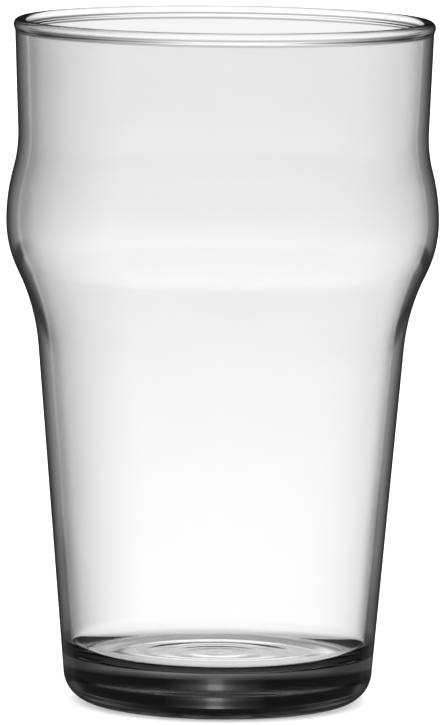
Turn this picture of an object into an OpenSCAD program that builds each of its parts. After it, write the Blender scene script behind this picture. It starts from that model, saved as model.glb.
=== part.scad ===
// Pint beer glass with a bulge below the rim: one piece of clear glass, turned about the Z axis.
// The origin is on the axis, in the plane that the glass stands on. Millimetres, +Z up.

/* [Overall] */
// Height from the table to the top of the rim
height = 142; // [132:1:152]
// Outside diameter at the widest point of the bulge
bulge_d = 89.6; // [88.6:0.2:92]
// Height of the widest point of the bulge
bulge_z = 100.4; // [96:0.2:103]

/* [Lower side] */
// Outside diameter that the lower side would have at the table, without its rounded heel
base_d = 63.2; // [60:0.2:66]
// Angle that the lower side leans outwards
side_lean = 4.86; // [4:0.02:5.4]
// Radius of the hollow curve from the lower side into the bulge
shoulder_r = 43; // [34:1:48]

/* [Bulge] */
// Radius of the bulge's curve below its widest point
bulge_low_r = 24; // [20:1:28]
// Radius of the bulge's curve above its widest point
bulge_high_r = 40; // [36:1:44]

/* [Neck and rim] */
// Outside diameter that the neck's wall reaches at the height of the rim
rim_d = 86.7; // [85.5:0.1:87.5]
// Angle that the neck leans outwards above the waist
neck_lean = 2.18; // [1.6:0.02:2.8]
// Radius of the hollow curve from the bulge into the neck
waist_r = 28; // [20:1:32]
// Radius of the rounded bead along the rim
bead_r = 1.35; // [1.3:0.05:1.6]
// How far the bead stands proud of the neck's outside
bead_proud = 0.25; // [0.15:0.05:0.35]

/* [Wall and foot] */
// Wall thickness
wall = 2.1; // [1.8:0.1:2.4]
// Thickness of the solid foot, from the table to the floor of the cavity
foot_thickness = 10; // [7:0.5:13]
// Radius of the rounded corner between the cavity's floor and its side
corner_r = 4; // [2:0.5:5]
// Radius of the rounded heel between the side and the bearing ring
heel_r = 6.5; // [4:0.5:7]
// Diameter of the shallow hollow under the foot, inside the bearing ring
punt_d = 45; // [36:1:47]
// Depth of that hollow at its centre
punt_depth = 1.2; // [0.6:0.1:2]

/* [Quality] */
// Number of sides that stand for a full circle in a preview
smoothness = 180; // [60:20:360]

/* [Hidden] */
$fn = smoothness;
glass_colour = [0.80, 0.86, 0.84, 0.45];
// The cavity is cut this far past the rim, so that it comes out open
overshoot = 2;

// Half sections are drawn with the radius along X and the height along Y.
// A slanted wall is its slope and the radius that it has at height zero.
side_slope = tan(side_lean);
neck_slope = tan(neck_lean);
side_r0 = base_d / 2;
neck_r0 = rim_d / 2 - neck_slope * height;

// The bulge's two arcs meet at the widest point, with their centres at that height
low_centre = [bulge_d / 2 - bulge_low_r, bulge_z];
high_centre = [bulge_d / 2 - bulge_high_r, bulge_z];

// Outward normal of a wall with this slope
function wall_normal(slope) = [1, -slope] / norm([1, slope]);

// Centre of a hollow curve of radius r outside a wall, tangent to the wall and to the arc of
// radius arc_r about arc_centre. side is -1 for a curve below the arc and 1 for one above it.
function hollow_centre(slope, r0, r, arc_centre, arc_r, side) =
    let (
        start = r0 + r * norm([1, slope]),
        a = 1 + slope * slope,
        b = 2 * (slope * (start - arc_centre[0]) - arc_centre[1]),
        c = pow(start - arc_centre[0], 2) + pow(arc_centre[1], 2) - pow(arc_r + r, 2),
        z = (-b + side * sqrt(b * b - 4 * a * c)) / (2 * a)
    )
    [start + slope * z, z];

// Centre of a rounded bottom corner of radius r, inside a wall and touching the floor at height z
function corner_centre(slope, r0, r, z) =
    [r0 + slope * (z + r) - r * norm([1, slope]), z + r];

// The point at the distance r from a, towards b
function towards(a, b, r) = a + r * (b - a) / norm(b - a);

shoulder_centre = hollow_centre(side_slope, side_r0, shoulder_r, low_centre, bulge_low_r, -1);
waist_centre = hollow_centre(neck_slope, neck_r0, waist_r, high_centre, bulge_high_r, 1);

// A full half section whose outline lies inset inside the glass's outside, from the height
// bottom to the height top, with a bottom corner of radius round_r
module half_section(inset, bottom, round_r, top) {
    floor_r0 = side_r0 - inset * norm([1, side_slope]);
    top_r0 = neck_r0 - inset * norm([1, neck_slope]);
    round_centre = corner_centre(side_slope, floor_r0, round_r, bottom);
    difference() {
        union() {
            polygon([
                [0, bottom],
                [round_centre[0], bottom],
                round_centre + round_r * wall_normal(side_slope),
                shoulder_centre - (shoulder_r + inset) * wall_normal(side_slope),
                towards(shoulder_centre, low_centre, shoulder_r + inset),
                [bulge_d / 2 - inset, bulge_z],
                towards(waist_centre, high_centre, waist_r + inset),
                waist_centre - (waist_r + inset) * wall_normal(neck_slope),
                [top_r0 + neck_slope * top, top],
                [0, top]
            ]);
            translate(round_centre) circle(round_r);
            bulge_half(low_centre, bulge_low_r - inset, -1);
            bulge_half(high_centre, bulge_high_r - inset, 1);
        }
        translate(shoulder_centre) circle(shoulder_r + inset);
        translate(waist_centre) circle(waist_r + inset);
    }
}

// The half of a bulge circle that lies below (side -1) or above (side 1) its centre, right of the axis
module bulge_half(centre, r, side) {
    intersection() {
        translate(centre) circle(r);
        translate([0, side < 0 ? centre[1] - r : centre[1]]) square([centre[0] + r, r]);
    }
}

// The rounded bead that finishes the rim
module rim_bead() {
    translate([rim_d / 2 + bead_proud - bead_r, height - bead_r]) circle(bead_r);
}

// The shallow hollow under the foot, a slice of a large sphere
module punt() {
    sphere_r = (pow(punt_d / 2, 2) + pow(punt_depth, 2)) / (2 * punt_depth);
    translate([0, punt_depth - sphere_r]) circle(sphere_r);
}

// The whole glass: solid foot, thin side, bulge, neck and beaded rim
module glass_body() {
    color(glass_colour) rotate_extrude() {
        difference() {
            half_section(0, 0, heel_r, height - bead_r);
            half_section(wall, foot_thickness, corner_r, height + overshoot);
            punt();
        }
        rim_bead();
    }
}

glass_body();
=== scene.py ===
"""Clear pint glass on a white table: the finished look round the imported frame."""

import math

import bpy
from mathutils import Matrix, Vector


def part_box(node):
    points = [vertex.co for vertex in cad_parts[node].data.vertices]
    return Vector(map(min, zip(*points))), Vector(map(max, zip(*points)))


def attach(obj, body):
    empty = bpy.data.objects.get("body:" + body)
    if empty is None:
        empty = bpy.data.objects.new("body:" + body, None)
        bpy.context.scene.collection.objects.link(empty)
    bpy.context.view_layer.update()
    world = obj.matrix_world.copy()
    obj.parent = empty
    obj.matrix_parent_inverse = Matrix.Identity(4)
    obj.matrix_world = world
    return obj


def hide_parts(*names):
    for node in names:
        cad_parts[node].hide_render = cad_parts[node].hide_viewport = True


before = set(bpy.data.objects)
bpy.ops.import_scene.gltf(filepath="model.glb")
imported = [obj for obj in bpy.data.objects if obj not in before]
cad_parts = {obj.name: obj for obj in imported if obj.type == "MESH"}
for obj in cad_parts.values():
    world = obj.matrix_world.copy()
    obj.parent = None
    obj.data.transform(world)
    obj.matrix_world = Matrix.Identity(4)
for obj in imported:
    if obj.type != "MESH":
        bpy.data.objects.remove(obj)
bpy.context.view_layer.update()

# Sizes of the glass in millimetres, as its drawing gives them, with leans in degrees.
# The height and the bulge's radius come from the frame.
MM = 0.001
GLASS_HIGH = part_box("glass_body")[1]
HEIGHT = GLASS_HIGH[2] / MM
BULGE_R = GLASS_HIGH[0] / MM
BULGE_Z = 100.4
BULGE_LOW_R, BULGE_HIGH_R = 24.0, 40.0
BASE_R, SIDE_LEAN = 31.6, 4.86
RIM_R, NECK_LEAN = 43.35, 2.18
SHOULDER_R, WAIST_R = 43.0, 28.0
BEAD_R, BEAD_PROUD, BEAD_FILLET_R = 1.35, 0.25, 3.0
WALL = 2.1
FOOT, CORNER_R, HEEL_R = 10.0, 4.0, 6.5
PUNT_R, PUNT_DEPTH = 22.5, 1.2

# Faint pressed rings on the cavity floor and slow waves in every surface, in millimetres
RING_DEPTH, RING_PITCH, RING_STEP = 0.05, 6.0, 0.75
WAVE_DEPTH, WAVE_LENGTH = 0.03, 14.0

# How finely the outline is drawn: the most a step may turn, in degrees, and the longest step,
# in millimetres. Then the steps in one turn, and how near, in millimetres, points are one.
ARC_STEP, LINE_STEP = 3.0, 2.5
TURNS = 256
JOIN_DISTANCE = 0.002
LATHE_INPUTS = {
    "Turns": "NodeSocketInt",
    "Join Distance": "NodeSocketFloat",
    "Wave": "NodeSocketFloat",
    "Finish": "NodeSocketMaterial",
}

# The glass: how much it bends light and what it absorbs, then faint level bands of tint and
# patches of handling. A scale says how fine a pattern is along each axis.
GLASS_IOR = 1.52
BODY_COLOUR, BODY_DENSITY = (0.767, 0.775, 0.776, 1.0), 112.0
BAND_TINT = (0.978, 0.984, 0.988, 1.0)
BAND_SCALE, BAND_DETAIL = (9.0, 9.0, 30.0), 1.0
MARK_SCALE, MARK_DETAIL = (55.0, 55.0, 35.0), 3.0
MARK_ROUGHNESS = {"From Min": 0.55, "From Max": 0.8, "To Min": 0.0, "To Max": 0.03}
WHITE = (1.0, 1.0, 1.0, 1.0)

# The table's half width, in metres, and its paint
TABLE_REACH = 40.0
TABLE_PAINT = (0.9, 0.9, 0.9, 1.0)

# The camera's place and aim, in metres, its tilt, in degrees, its lens and sensor, in
# millimetres, and how far it sees, in metres
CAMERA_PLACE, CAMERA_AIM = (0.0, -1.6, 0.252), (0.0, 0.0, 0.0707)
CAMERA_ROLL = 0.65
LENS, SENSOR_WIDTH = 385.7, 36.0
SIGHT = 60.0

# Tall white strips and, low down, wide white sheets stand round the set at every quarter turn;
# lowest of all, sheets lie at every eighth turn. Each edge is the share of full light by degrees
# from a panel's middle, and each turn is where the first panel stands, in degrees.
STRIP_TURN, SHEET_TURN, STRAIGHT_ON = 0.5, 5.0, 0.0
STRIP_EVERY = SHEET_EVERY = 90.0
LOW_EVERY = 45.0
ONCE = 360.0
STRIP_EDGE = [(0, 1.0), (1.2, 0.95), (2.6, 0.45), (5, 0.2), (9, 0.08), (14, 0.0), (45, 0.0)]
SHEET_EDGE = [
    (0, 1.0), (7, 1.0), (12, 0.76), (17, 0.54), (24, 0.42), (32, 0.36), (42, 0.26), (45, 0.24),
]
LOW_EDGE = [(0, 1.0), (8, 1.0), (22.5, 0.3)]
# Well away from straight on, the set is a little brighter and its lowest sheets reach higher
REAR_EDGE = [(0, 0.0), (55, 0.0), (75, 1.0), (180, 1.0)]
REAR_GAIN = 0.14
# Where each kind is, by degrees above the horizon
SHEET_BAND = [(-90, 1.0), (-1, 1.0), (4, 0.0), (90, 0.0)]
LOW_FRONT_BAND = [(-90, 1.0), (-24, 1.0), (-18, 0.0), (90, 0.0)]
LOW_REAR_BAND = [(-90, 1.0), (-14, 1.0), (-10, 0.0), (90, 0.0)]
# Brightness by degrees above the horizon, on the panels and in the gaps between them
PANEL_LEVELS = [
    (-90, 0.7), (-60, 0.9), (-42, 0.98), (-33, 1.22), (-20, 1.27), (-12, 1.34), (-8, 1.32),
    (-4.5, 1.07), (-2.2, 1.05), (-1.2, 0.62), (8, 0.6), (10, 1.2), (17, 1.2), (20, 0.5),
    (24, 0.12), (60, 0.12), (90, 0.4),
]
GAP_LEVELS = [
    (-90, 0.6), (-50, 0.6), (-32, 0.5), (-20, 0.35), (-12, 0.25), (-7, 0.08), (-2, 0.02),
    (22, 0.04), (35, 0.2), (50, 0.4), (90, 0.45),
]
# Light that has bounced in the glass sees one lamp behind the set, soft wings beside it and a
# dark room. The lamp shows only to light that has passed more surfaces than LAMP_BEHIND.
LAMP_TURN, LAMP_BEHIND = 1.5, 2.5
LAMP_EDGE = [(0, 1.0), (4, 1.0), (6, 0.35), (9, 0.04), (14, 0.0), (180, 0.0)]
LAMP_LEVELS = [
    (-90, 0.04), (-14, 0.05), (-9, 0.4), (-4, 1.2), (0, 1.8), (10, 1.8), (14, 1.1), (20, 0.7),
    (30, 0.5), (55, 0.6), (62, 1.3), (90, 1.3),
]
WING_EDGE = [
    (0, 0.02), (9, 0.02), (16, 0.06), (24, 0.14), (31, 0.24), (37, 0.34), (42, 0.36),
    (50, 0.15), (60, 0.05), (180, 0.05),
]
WING_BAND = [
    (-90, 0.0), (-30, 0.0), (-22, 0.7), (-16, 0.7), (-14.5, 0.25), (-11.5, 0.25), (-10, 1.0),
    (12, 1.0), (20, 0.0), (90, 0.0),
]
ROOM_LEVELS = [
    (-90, 0.04), (-14, 0.05), (-7, 0.02), (12, 0.02), (25, 0.2), (40, 0.35), (55, 0.5),
    (62, 1.3), (90, 1.3),
]
# The light on the table and the brightness of the bare backdrop
DOME_LEVEL, BACKDROP_LEVEL = 1.9, 1.03
# A count above this is at least one
NONE_YET = 0.5


def wall_normal(slope):
    """The outward normal of a wall whose radius grows by slope for each millimetre of height."""
    return Vector((1.0, -slope)).normalized()


def hollow_centre(slope, radius_0, r, arc_centre, arc_r, side):
    """The centre of a curve of radius r that touches a wall and an arc.

    The side is -1 below the arc and 1 above it. A negative r curves the other way.
    """
    start = radius_0 + r * math.hypot(1, slope)
    a = 1 + slope * slope
    b = 2 * (slope * (start - arc_centre[0]) - arc_centre[1])
    c = (start - arc_centre[0]) ** 2 + arc_centre[1] ** 2 - (arc_r + abs(r)) ** 2
    z = (-b + side * math.sqrt(b * b - 4 * a * c)) / (2 * a)
    return Vector((start + slope * z, z))


def corner_centre(slope, radius_0, r, z):
    """The centre of a rounded bottom corner of radius r inside a wall, on a floor at height z."""
    return Vector((radius_0 + slope * (z + r) - r * math.hypot(1, slope), z + r))


def arc(centre, start, end):
    """Points of the shorter arc about centre from start up to, and not including, end."""
    a, b = start - centre, end - centre
    turn = math.atan2(a.x * b.y - a.y * b.x, a.dot(b))
    by_turn = math.ceil(abs(math.degrees(turn)) / ARC_STEP)
    by_length = math.ceil(abs(turn) * a.length / LINE_STEP)
    steps = max(2, by_turn, by_length)
    return [centre + Matrix.Rotation(turn * i / steps, 2) @ a for i in range(steps)]


def line(start, end):
    """Points along a straight stretch, up to and not including its end."""
    steps = max(1, math.ceil((end - start).length / LINE_STEP))
    return [start.lerp(end, i / steps) for i in range(steps)]


def side_outline(inset, floor, corner_r, top):
    """The wall's outline from its bottom corner up to top, inset under the glass's outside."""
    side, neck = math.tan(math.radians(SIDE_LEAN)), math.tan(math.radians(NECK_LEAN))
    side_0 = BASE_R - inset * math.hypot(1, side)
    neck_0 = RIM_R - neck * HEIGHT - inset * math.hypot(1, neck)
    low = Vector((BULGE_R - BULGE_LOW_R, BULGE_Z))
    high = Vector((BULGE_R - BULGE_HIGH_R, BULGE_Z))
    corner = corner_centre(side, side_0, corner_r, floor)
    shoulder = hollow_centre(side, side_0, SHOULDER_R + inset, low, BULGE_LOW_R - inset, -1)
    waist = hollow_centre(neck, neck_0, WAIST_R + inset, high, BULGE_HIGH_R - inset, 1)
    on_floor = Vector((corner.x, floor))
    side_start = corner + corner_r * wall_normal(side)
    side_end = shoulder - (SHOULDER_R + inset) * wall_normal(side)
    bulge_start = shoulder + (low - shoulder).normalized() * (SHOULDER_R + inset)
    widest = Vector((BULGE_R - inset, BULGE_Z))
    bulge_end = waist + (high - waist).normalized() * (WAIST_R + inset)
    neck_start = waist - (WAIST_R + inset) * wall_normal(neck)
    neck_end = Vector((neck_0 + neck * top, top))
    return (
        arc(corner, on_floor, side_start)
        + line(side_start, side_end)
        + arc(shoulder, side_end, bulge_start)
        + arc(low, bulge_start, widest)
        + arc(high, widest, bulge_end)
        + arc(waist, bulge_end, neck_start)
        + line(neck_start, neck_end)
        + [neck_end]
    )


def half_section():
    """The half section from the cavity floor's middle, up, over the rim and down to the punt."""
    neck = math.tan(math.radians(NECK_LEAN))
    outer_0 = RIM_R - neck * HEIGHT
    inner_0 = outer_0 - WALL * math.hypot(1, neck)
    bead = Vector((RIM_R + BEAD_PROUD - BEAD_R, HEIGHT - BEAD_R))
    outside = hollow_centre(neck, outer_0, BEAD_FILLET_R, bead, BEAD_R, -1)
    inside = hollow_centre(neck, inner_0, -BEAD_FILLET_R, bead, BEAD_R, -1)
    drop = BEAD_FILLET_R * neck / math.hypot(1, neck)
    outer = side_outline(0, 0, HEEL_R, outside.y + drop)
    inner = side_outline(WALL, FOOT, CORNER_R, inside.y - drop)
    over_bead = [
        bead + (inside - bead).normalized() * BEAD_R,
        bead - Vector((BEAD_R, 0)),
        bead + Vector((0, BEAD_R)),
        bead + Vector((BEAD_R, 0)),
        bead + (outside - bead).normalized() * BEAD_R,
    ]
    points = ringed_floor(inner[0]) + inner[:-1]
    points += arc(inside, inner[-1], over_bead[0])
    for start, end in zip(over_bead, over_bead[1:]):
        points += arc(bead, start, end)
    points += arc(outside, over_bead[-1], outer[-1])
    return points + outer[::-1] + underside(outer[0])


def ringed_floor(edge):
    """The cavity floor from its middle out to its rounded edge, with faint concentric rings."""
    steps = math.ceil(edge.x / RING_STEP)
    points = []
    for i in range(steps):
        radius = edge.x * i / steps
        fade = math.sin(math.pi * i / steps) ** 0.5 if i else 0.0
        ring = RING_DEPTH * fade * math.sin(math.tau * radius / RING_PITCH)
        points.append(Vector((radius, FOOT + ring)))
    return points


def underside(heel_end):
    """The underside from the heel to the axis: a flat bearing ring and a shallow punt."""
    sphere_r = (PUNT_R**2 + PUNT_DEPTH**2) / (2 * PUNT_DEPTH)
    sphere = Vector((0, PUNT_DEPTH - sphere_r))
    points = line(heel_end, Vector((PUNT_R, 0)))[1:]
    steps = math.ceil(PUNT_R / LINE_STEP)
    lean = math.asin(PUNT_R / sphere_r)
    for i in range(steps + 1):
        a = lean * (1 - i / steps)
        points.append(sphere + sphere_r * Vector((math.sin(a), math.cos(a))))
    return points


def in_scene(name, data):
    """A new object in the scene."""
    piece = bpy.data.objects.new(name, data)
    bpy.context.scene.collection.objects.link(piece)
    return piece


def outline_object(name, points):
    """A mesh of loose edges through the points, in metres, in the XZ plane."""
    mesh = bpy.data.meshes.new(name)
    places = [(p.x * MM, 0, p.y * MM) for p in points]
    mesh.from_pydata(places, [(i, i + 1) for i in range(len(places) - 1)], [])
    return in_scene(name, mesh)


def add(tree, kind, **settings):
    """A new node with its settings."""
    node = tree.nodes.new(kind)
    for key, value in settings.items():
        setattr(node, key, value)
    return node


def feed(tree, socket, value):
    """Set a node's input to a number, or join it to another node's output."""
    if isinstance(value, (int, float)):
        socket.default_value = value
    else:
        tree.links.new(value, socket)


def maths(tree, operation, *inputs):
    """The result of one sum on numbers and other nodes' outputs."""
    node = add(tree, "ShaderNodeMath", operation=operation)
    for socket, value in zip(node.inputs, inputs):
        feed(tree, socket, value)
    return node.outputs[0]


def lathe_tree():
    """Geometry Nodes that turn an outline in the XZ plane about the Z axis into a smooth body."""
    tree = bpy.data.node_groups.new("turn_on_lathe", "GeometryNodeTree")
    face = tree.interface
    face.new_socket("Outline", in_out="INPUT", socket_type="NodeSocketGeometry")
    sockets = {
        name: face.new_socket(name, in_out="INPUT", socket_type=kind).identifier
        for name, kind in LATHE_INPUTS.items()
    }
    face.new_socket("Body", in_out="OUTPUT", socket_type="NodeSocketGeometry")
    given = add(tree, "NodeGroupInput").outputs
    body = wavy(tree, given, closed_turn(tree, given))
    for kind in ("GeometryNodeSetShadeSmooth", "GeometryNodeRealizeInstances"):
        step = add(tree, kind)
        tree.links.new(body, step.inputs[0])
        body = step.outputs[0]
    finished = add(tree, "GeometryNodeSetMaterial")
    tree.links.new(body, finished.inputs["Geometry"])
    tree.links.new(given["Finish"], finished.inputs["Material"])
    tree.links.new(finished.outputs[0], add(tree, "NodeGroupOutput").inputs[0])
    return tree, sockets


def closed_turn(tree, given):
    """The outline turned about the Z axis, with its seam and its poles joined."""
    link = tree.links.new
    size = add(tree, "GeometryNodeAttributeDomainSize", component="MESH")
    link(given["Outline"], size.inputs[0])
    around = maths(tree, "ADD", given["Turns"], 1)
    sheet = add(tree, "GeometryNodeMeshGrid")
    link(size.outputs["Point Count"], sheet.inputs["Vertices X"])
    link(around, sheet.inputs["Vertices Y"])
    index = add(tree, "GeometryNodeInputIndex").outputs[0]
    inside_step = maths(tree, "ADD", index, 0.5)
    station = maths(tree, "FLOOR", maths(tree, "DIVIDE", inside_step, around))
    step = maths(tree, "SUBTRACT", index, maths(tree, "MULTIPLY", station, around))
    angle = maths(tree, "DIVIDE", maths(tree, "MULTIPLY", step, math.tau), given["Turns"])
    sample = add(tree, "GeometryNodeSampleIndex", data_type="FLOAT_VECTOR", domain="POINT")
    link(given["Outline"], sample.inputs["Geometry"])
    link(add(tree, "GeometryNodeInputPosition").outputs[0], sample.inputs["Value"])
    link(station, sample.inputs["Index"])
    turned = add(tree, "ShaderNodeVectorRotate", rotation_type="Z_AXIS")
    link(sample.outputs["Value"], turned.inputs["Vector"])
    link(angle, turned.inputs["Angle"])
    place = add(tree, "GeometryNodeSetPosition")
    link(sheet.outputs["Mesh"], place.inputs["Geometry"])
    link(turned.outputs[0], place.inputs["Position"])
    closed = add(tree, "GeometryNodeMergeByDistance")
    link(place.outputs[0], closed.inputs["Geometry"])
    link(given["Join Distance"], closed.inputs["Distance"])
    return closed.outputs[0]


def wavy(tree, given, body):
    """The body with slow waves pressed into its surface, along its normals."""
    link = tree.links.new
    waves = add(tree, "ShaderNodeTexNoise")
    waves.inputs["Scale"].default_value = 1 / (WAVE_LENGTH * MM)
    waves.inputs["Detail"].default_value = 0.0
    push = add(tree, "ShaderNodeVectorMath", operation="SCALE")
    link(add(tree, "GeometryNodeInputNormal").outputs[0], push.inputs[0])
    link(maths(tree, "MULTIPLY", waves.outputs[0], given["Wave"]), push.inputs["Scale"])
    moved = add(tree, "GeometryNodeSetPosition")
    link(body, moved.inputs["Geometry"])
    link(push.outputs[0], moved.inputs["Offset"])
    return moved.outputs[0]


def turned_body(name, points, finish):
    """The outline turned on the lathe, as a plain mesh whose faces point outwards."""
    blank = outline_object(name + "_outline", points)
    tree, sockets = lathe_tree()
    lathe = blank.modifiers.new("lathe", "NODES")
    lathe.node_group = tree
    lathe[sockets["Turns"]] = TURNS
    lathe[sockets["Join Distance"]] = JOIN_DISTANCE * MM
    lathe[sockets["Wave"]] = -WAVE_DEPTH * MM
    lathe[sockets["Finish"]] = finish
    ready = bpy.context.evaluated_depsgraph_get()
    mesh = bpy.data.meshes.new_from_object(blank.evaluated_get(ready), depsgraph=ready)
    mesh.name = name
    bpy.data.objects.remove(blank)
    if signed_volume(mesh) < 0:
        mesh.flip_normals()
    return in_scene(name, mesh)


def signed_volume(mesh):
    """The mesh's volume, negative where its faces point inwards."""
    mesh.calc_loop_triangles()
    corners = [v.co for v in mesh.vertices]
    faces = (face.vertices for face in mesh.loop_triangles)
    return sum(corners[a].dot(corners[b].cross(corners[c])) for a, b, c in faces) / 6


def clear_glass():
    """Clear soda-lime glass: a grey body, faint bands of tint and a trace of handling."""
    glass = bpy.data.materials.new("clear_glass")
    glass.use_nodes = True
    tree = glass.node_tree
    link = tree.links.new
    shader = tree.nodes["Principled BSDF"]
    shader.inputs["Base Color"].default_value = WHITE
    shader.inputs["Roughness"].default_value = 0.0
    shader.inputs["IOR"].default_value = GLASS_IOR
    shader.inputs["Transmission Weight"].default_value = 1.0
    tint = add(tree, "ShaderNodeMix", data_type="RGBA")
    tint.inputs["A"].default_value = WHITE
    tint.inputs["B"].default_value = BAND_TINT
    link(cloud(tree, BAND_SCALE, BAND_DETAIL), tint.inputs["Factor"])
    link(tint.outputs["Result"], shader.inputs["Base Color"])
    smear = add(tree, "ShaderNodeMapRange")
    for name, value in MARK_ROUGHNESS.items():
        smear.inputs[name].default_value = value
    link(cloud(tree, MARK_SCALE, MARK_DETAIL), smear.inputs["Value"])
    link(smear.outputs[0], shader.inputs["Roughness"])
    body = add(tree, "ShaderNodeVolumeAbsorption")
    body.inputs["Color"].default_value = BODY_COLOUR
    body.inputs["Density"].default_value = BODY_DENSITY
    link(body.outputs[0], tree.nodes["Material Output"].inputs["Volume"])
    return glass


def cloud(tree, scale, detail):
    """A soft noise pattern in the object's own coordinates, as fine as scale along each axis."""
    place = add(tree, "ShaderNodeTexCoord").outputs["Object"]
    stretch = add(tree, "ShaderNodeMapping")
    stretch.inputs["Scale"].default_value = scale
    noise = add(tree, "ShaderNodeTexNoise")
    noise.inputs["Scale"].default_value = 1.0
    noise.inputs["Detail"].default_value = detail
    tree.links.new(place, stretch.inputs["Vector"])
    tree.links.new(stretch.outputs[0], noise.inputs["Vector"])
    return noise.outputs[0]


def white_table():
    """A wide plain table top, which the glass neither mirrors nor shows."""
    mesh = bpy.data.meshes.new("table")
    square = [(-1, -1), (1, -1), (1, 1), (-1, 1)]
    corners = [(x * TABLE_REACH, y * TABLE_REACH, 0) for x, y in square]
    mesh.from_pydata(corners, [], [(0, 1, 2, 3)])
    table = in_scene("table", mesh)
    paint = bpy.data.materials.new("table_white")
    paint.use_nodes = True
    shader = paint.node_tree.nodes["Principled BSDF"]
    shader.inputs["Base Color"].default_value = TABLE_PAINT
    shader.inputs["Roughness"].default_value = 1.0
    shader.inputs["Specular IOR Level"].default_value = 0.0
    mesh.materials.append(paint)
    table.visible_transmission = False
    table.visible_glossy = False


def by_height(degrees):
    """Where a height above the horizon lies from straight down (0) to straight up (1)."""
    return 0.5 + 0.5 * math.sin(math.radians(degrees))


def ramp(tree, factor, levels, place):
    """Brightness by factor, from pairs of a value, which place turns into a factor, and a level."""
    node = add(tree, "ShaderNodeValToRGB")
    tree.links.new(factor, node.inputs[0])
    stops = node.color_ramp.elements
    while len(stops) > 1:
        stops.remove(stops[0])
    for i, (value, level) in enumerate(levels):
        stop = stops[0] if i == 0 else stops.new(place(value))
        stop.position = place(value)
        stop.color = (level, level, level, 1)
    return node.outputs["Color"]


def mix(tree, factor, a, b):
    """A blend of two levels: a where the factor is 0 and b where it is 1."""
    node = add(tree, "ShaderNodeMix")
    for socket, value in zip((node.inputs[0], node.inputs[2], node.inputs[3]), (factor, a, b)):
        tree.links.new(value, socket)
    return node.outputs[0]


def light(tree, strength):
    """White light of a given strength."""
    node = add(tree, "ShaderNodeBackground")
    node.inputs["Color"].default_value = WHITE
    feed(tree, node.inputs["Strength"], strength)
    return node.outputs[0]


def either(tree, factor, a, b):
    """Light a where the factor is 0 and light b where it is 1."""
    node = add(tree, "ShaderNodeMixShader")
    for socket, value in zip(node.inputs, (factor, a, b)):
        tree.links.new(value, socket)
    return node.outputs[0]


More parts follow.
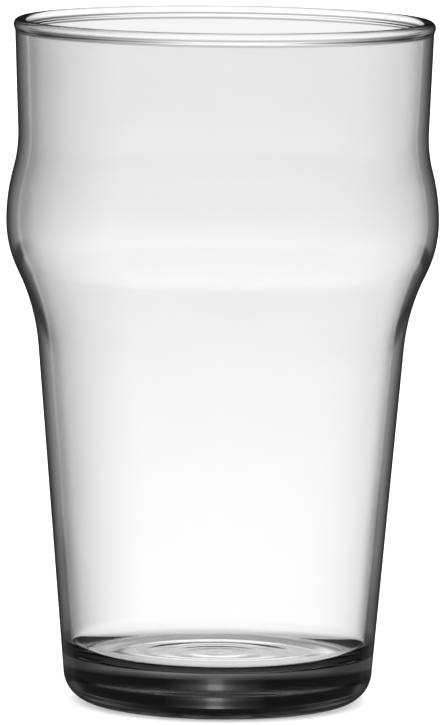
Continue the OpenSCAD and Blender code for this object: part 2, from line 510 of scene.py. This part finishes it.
class Studio:
    """The set's brightness by the way a ray goes: its azimuth and its height."""

    def __init__(self, tree):
        self.tree = tree
        way = add(tree, "ShaderNodeSeparateXYZ")
        tree.links.new(add(tree, "ShaderNodeTexCoord").outputs["Generated"], way.inputs[0])
        self.rise = maths(tree, "MULTIPLY_ADD", way.outputs["Z"], 0.5, 0.5)
        turn = maths(tree, "ARCTAN2", way.outputs["X"], way.outputs["Y"])
        self.azimuth = maths(tree, "DEGREES", turn)

    def height(self, levels):
        """Levels by degrees above the horizon."""
        return ramp(self.tree, self.rise, levels, by_height)

    def round_the_set(self, edge, turn, spacing):
        """Levels by degrees from the nearest middle, the first at turn and one each spacing."""
        half = spacing / 2
        offset = maths(self.tree, "SUBTRACT", self.azimuth, turn)
        share = maths(self.tree, "DIVIDE", maths(self.tree, "PINGPONG", offset, half), half)
        return ramp(self.tree, share, edge, lambda degrees: degrees / half)

    def through(self):
        """What light that only passes through the glass comes from: panels and gaps."""
        tree = self.tree
        rear = self.round_the_set(REAR_EDGE, STRAIGHT_ON, ONCE)
        strip = self.round_the_set(STRIP_EDGE, STRIP_TURN, STRIP_EVERY)
        sheet = self.round_the_set(SHEET_EDGE, SHEET_TURN, SHEET_EVERY)
        low = self.round_the_set(LOW_EDGE, SHEET_TURN, LOW_EVERY)
        cover = mix(tree, self.height(SHEET_BAND), strip, sheet)
        low_band = mix(tree, rear, self.height(LOW_FRONT_BAND), self.height(LOW_REAR_BAND))
        cover = mix(tree, low_band, cover, low)
        level = mix(tree, cover, self.height(GAP_LEVELS), self.height(PANEL_LEVELS))
        return maths(tree, "MULTIPLY", level, maths(tree, "MULTIPLY_ADD", rear, REAR_GAIN, 1.0))

    def bounced(self, deep):
        """What light that bounces in the glass comes from: a lamp, its wings and the room."""
        tree = self.tree
        lamp = maths(tree, "MULTIPLY", self.round_the_set(LAMP_EDGE, LAMP_TURN, ONCE), deep)
        wings = self.round_the_set(WING_EDGE, STRAIGHT_ON, ONCE)
        wings = maths(tree, "MULTIPLY", wings, self.height(WING_BAND))
        level = mix(tree, lamp, self.height(ROOM_LEVELS), self.height(LAMP_LEVELS))
        return maths(tree, "MAXIMUM", level, wings)


def studio_world():
    """Soft studio light: white on the table and the backdrop, and the set in the glass."""
    world = bpy.data.worlds.new("studio")
    bpy.context.scene.world = world
    world.use_nodes = True
    world.cycles.sampling_method = "NONE"
    tree = world.node_tree
    tree.nodes.clear()
    studio = Studio(tree)
    path = add(tree, "ShaderNodeLightPath").outputs
    has_bounced = maths(tree, "GREATER_THAN", path["Glossy Depth"], NONE_YET)
    deep = maths(tree, "GREATER_THAN", path["Transmission Depth"], LAMP_BEHIND)
    from_table = maths(tree, "GREATER_THAN", path["Diffuse Depth"], NONE_YET)
    in_glass = light(tree, mix(tree, has_bounced, studio.through(), studio.bounced(deep)))
    lit = either(tree, from_table, in_glass, light(tree, DOME_LEVEL))
    seen = either(tree, path["Is Camera Ray"], lit, light(tree, BACKDROP_LEVEL))
    tree.links.new(seen, add(tree, "ShaderNodeOutputWorld").inputs[0])


def studio_camera():
    """A long lens a little above the rim, looking slightly down, with a small tilt."""
    data = bpy.data.cameras.new("camera")
    data.sensor_width = SENSOR_WIDTH
    data.lens = LENS
    data.clip_end = SIGHT
    camera = in_scene("camera", data)
    place = Vector(CAMERA_PLACE)
    turn = (Vector(CAMERA_AIM) - place).to_track_quat("-Z", "Y").to_matrix().to_4x4()
    roll = Matrix.Rotation(math.radians(CAMERA_ROLL), 4, "Z")
    camera.matrix_world = Matrix.Translation(place) @ turn @ roll
    bpy.context.scene.camera = camera


bpy.context.scene.view_settings.view_transform = "Standard"
studio_camera()
studio_world()
white_table()
glass = turned_body("pint_glass", half_section(), clear_glass())
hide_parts("glass_body")
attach(glass, "root")
